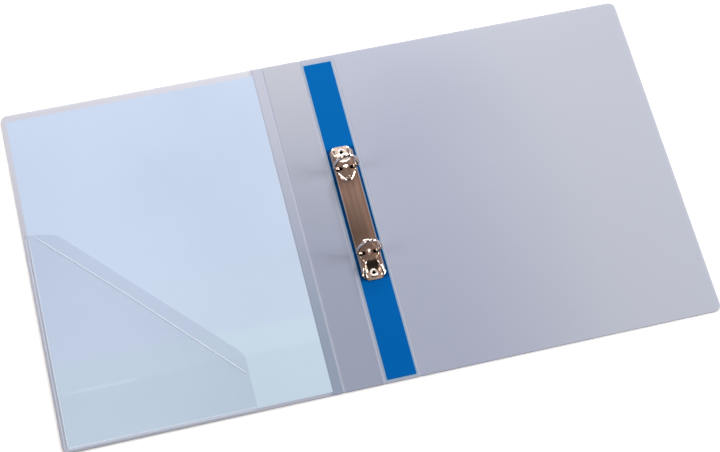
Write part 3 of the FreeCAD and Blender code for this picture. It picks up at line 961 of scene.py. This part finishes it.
def build_half_ring(side, end, metal):
    """One bent wire, swept as a tube, with a chamfered tip that meets its partner."""
    side_name = "left" if side < 0 else "right"
    end_name = "upper" if end > 0 else "lower"
    name = f"{end_name}_{side_name}_half_ring"
    low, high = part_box(name)
    y = end * RING_Y
    half_gap = 0.1 * MM
    chamfer = 0.12 * MM
    foot_top, collar_top, collar_edge = 1.6 * MM, 0.4 * MM, 0.1 * MM
    collar = 1.35
    loops = []

    def add_loop(px, pz, angle, share=1.0):
        nx, nz = math.sin(angle), math.cos(angle)
        r = WIRE * share
        loops.append([(side * (half_gap + px + r * c * nx), y + r * s, pz + r * c * nz)
                      for c, s in circle(28)])

    path = ring_path(high.z - WIRE, plate_low.z + RING_WAIST)
    px, pz, angle = path[0]
    for shift, share in ((0.0, 0.55), (0.0, 0.80), (chamfer, 0.95)):
        add_loop(px + shift, pz, angle, share)
    for px, pz, angle in path[1:]:
        add_loop(px, pz, angle)
    for rise, share in ((foot_top, 1.0), (collar_top, 1.0), (collar_top, collar),
                        (collar_edge, collar), (0.0, 1.2)):
        add_loop(FOOT_X, low.z + rise, math.pi / 2, share)
    ring = add_mesh(name + "_wire", *loft(loops), metal, "ring_wire", 50)
    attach(ring, side_name + "_rings")
    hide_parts(name)


def rivet_metal():
    """Bright nickel outside and dull, dark steel down the rivet's bore, partly oxide and partly
    painted shade.
    """
    rim_inside, bore_outside = 1.75 * MM, 1.45 * MM
    shader = Shader("rivet_nickel", Metallic=1.0)
    marks = shader.noise(700.0, 4.0, 0.65)
    x = shader.axis("X")
    along_plate = shader.math("SUBTRACT", shader.math("ABSOLUTE", shader.axis("Y")), RIVET_Y)
    squares = shader.math("ADD", shader.math("MULTIPLY", x, x),
                          shader.math("MULTIPLY", along_plate, along_plate))
    # the bore's dark colour is partly oxide and partly painted shade
    bore = shader.step(shader.math("SQRT", squares), rim_inside, bore_outside)
    bright = shader.faint(marks, 0.35, linear(226, 216, 208), linear(200, 186, 176))
    dark = shader.mix(marks, linear(26, 25, 25), linear(48, 45, 44))
    shader.set("Base Color", shader.mix(bore, bright, dark))
    shader.set("Roughness", shader.math("ADD", shader.spread(marks, 0.28, 0.10),
                                        shader.math("MULTIPLY", bore, 0.5)))
    shader.set("Normal", shader.bump(marks, 0.08, 0.02 * MM))
    return shader.material


def build_rivet(end, metal):
    """Tubular rivet with a rolled rim; profile is radius and height."""
    name = "upper_rivet" if end > 0 else "lower_rivet"
    low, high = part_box(name)
    axis = 0.0001 * MM
    bore, shank, head, rim = 1.3 * MM, 2.0 * MM, 4.0 * MM, 3.4 * MM
    head_top = low.z + 0.5 * MM
    head_low = low.z + LAYER_GAP
    head_edge = head - 0.1 * MM
    roll_height = 0.9 * MM
    roll_low = high.z - roll_height
    roll_half = roll_height / 2
    roll_reach = roll_half * 1.3
    crest = rim - roll_reach
    throat_depth = 0.75 * MM
    roll_steps, throat_steps = 12, 8
    profile = [(axis, head_top), (axis, head_low), (head - 0.5 * MM, head_low),
               (head_edge, low.z + 0.12 * MM), (head, low.z + 0.3 * MM),
               (head_edge, low.z + 0.48 * MM), (shank, head_top), (shank, roll_low)]
    for i in range(roll_steps + 1):
        a = -math.pi / 2 + math.pi * i / roll_steps
        profile.append((crest + roll_reach * math.cos(a),
                        roll_low + roll_half + roll_half * math.sin(a)))
    for i in range(1, throat_steps):
        a = math.pi / 2 * i / throat_steps
        profile.append((crest - (crest - bore) * math.sin(a),
                        high.z - throat_depth * (1 - math.cos(a))))
    profile += [(bore, roll_low), (bore, head_top)]
    rivet = add_mesh(name + "_eyelet", *lathe(profile, (0.0, end * RIVET_Y)), metal,
                     "rivet_steel", 45)
    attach(rivet, "spine")
    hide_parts(name)


build_plate()
ring_metal = wire_material()
rivet_nickel = rivet_metal()
for end in (1, -1):
    for side in (-1, 1):
        build_half_ring(side, end, ring_metal)
    build_rivet(end, rivet_nickel)
steel = blade_material()
for node in ("left_blade", "right_blade"):
    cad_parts[node].data.materials.clear()
    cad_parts[node].data.materials.append(steel)

# ---------------------------------------------------------------- studio and camera


def build_floor():
    """Plain pale floor just below the binder."""
    size = 6.0
    mesh = bpy.data.meshes.new("studio_floor")
    z = -0.05 * MM
    mesh.from_pydata([(-size, -size, z), (size, -size, z), (size, size, z), (-size, size, z)],
                     [], [(0, 1, 2, 3)])
    shader = Shader("studio_floor", Roughness=0.9, Specular_IOR_Level=0.1)
    tone = shader.noise(3.0, 2.0)
    shader.set("Base Color", shader.mix(tone, (0.86, 0.86, 0.87, 1.0), (0.89, 0.89, 0.89, 1.0)))
    mesh.materials.append(shader.material)
    floor = bpy.data.objects.new("studio_floor", mesh)
    bpy.context.scene.collection.objects.link(floor)


def add_light(name, place, target, width, height, power, colour):
    """A soft rectangular lamp at place that faces target."""
    lamp = bpy.data.lights.new(name, "AREA")
    lamp.shape = "RECTANGLE"
    lamp.size = width
    lamp.size_y = height
    lamp.energy = power
    lamp.color = colour
    light = bpy.data.objects.new(name, lamp)
    bpy.context.scene.collection.objects.link(light)
    light.location = place
    way = Vector(target) - Vector(place)
    light.rotation_euler = way.to_track_quat("-Z", "Y").to_euler()


def build_world():
    """Soft surroundings: dim and warm in front of the binder, pale behind it."""
    world = bpy.data.worlds.new("studio")
    bpy.context.scene.world = world
    world.use_nodes = True
    tree = world.node_tree
    place = tree.nodes.new("ShaderNodeTexCoord")
    towards = tree.nodes.new("ShaderNodeVectorMath")
    towards.operation = "DOT_PRODUCT"
    towards.inputs[1].default_value = Vector((0.05, 0.93, 0.36)).normalized()
    tree.links.new(place.outputs["Generated"], towards.inputs[0])
    spread = tree.nodes.new("ShaderNodeMapRange")
    spread.inputs["From Min"].default_value = -1.0
    tree.links.new(towards.outputs["Value"], spread.inputs["Value"])
    tones = tree.nodes.new("ShaderNodeValToRGB")
    stops = ((0.3, (0.010, 0.009, 0.008, 1.0)), (0.5, (0.04, 0.034, 0.030, 1.0)),
             (0.65, (0.24, 0.175, 0.150, 1.0)), (0.87, (0.27, 0.185, 0.155, 1.0)),
             (0.94, (0.50, 0.45, 0.42, 1.0)), (1.0, (1.40, 1.36, 1.32, 1.0)))
    set_stops(tones.color_ramp, stops)
    tree.links.new(spread.outputs["Result"], tones.inputs["Fac"])
    background = tree.nodes["Background"]
    tree.links.new(tones.outputs["Color"], background.inputs["Color"])


def build_camera():
    """The photograph's viewing angle."""
    azimuth = math.radians(-22.87)
    elevation = math.radians(63.53)
    roll = math.radians(9.0)
    distance = 1.58413
    target = Vector((0.06172, -0.03751, 0.0))
    back = Vector((math.sin(azimuth) * math.cos(elevation),
                   -math.cos(azimuth) * math.cos(elevation), math.sin(elevation)))
    data = bpy.data.cameras.new("camera")
    data.sensor_width = 36.0
    data.lens = 95.9
    data.shift_x = -0.112
    data.shift_y = 0.0167
    data.clip_start = 0.05
    data.clip_end = 50.0
    camera = bpy.data.objects.new("camera", data)
    bpy.context.scene.collection.objects.link(camera)
    camera.location = target + back * distance
    facing = (-back).to_track_quat("-Z", "Y")
    camera.rotation_mode = "QUATERNION"
    camera.rotation_quaternion = facing @ Quaternion((0, 0, 1), roll)
    bpy.context.scene.camera = camera


build_floor()
build_world()
add_light("back_light", (0.25, 1.40, 1.28), (0.0, 0.0, 0.0), 0.9, 0.35, 29.0, (1.0, 0.99, 0.98))
add_light("side_light", (1.75, -0.25, 1.0), (0.1, 0.0, 0.0), 0.9, 0.9, 47.0, (1.0, 0.99, 0.98))
add_light("fill_light", (-1.55, -0.15, 1.3), (-0.1, 0.0, 0.0), 0.8, 0.8, 18.0, (0.97, 0.98, 1.0))
build_camera()
bpy.context.scene.view_settings.view_transform = "Standard"
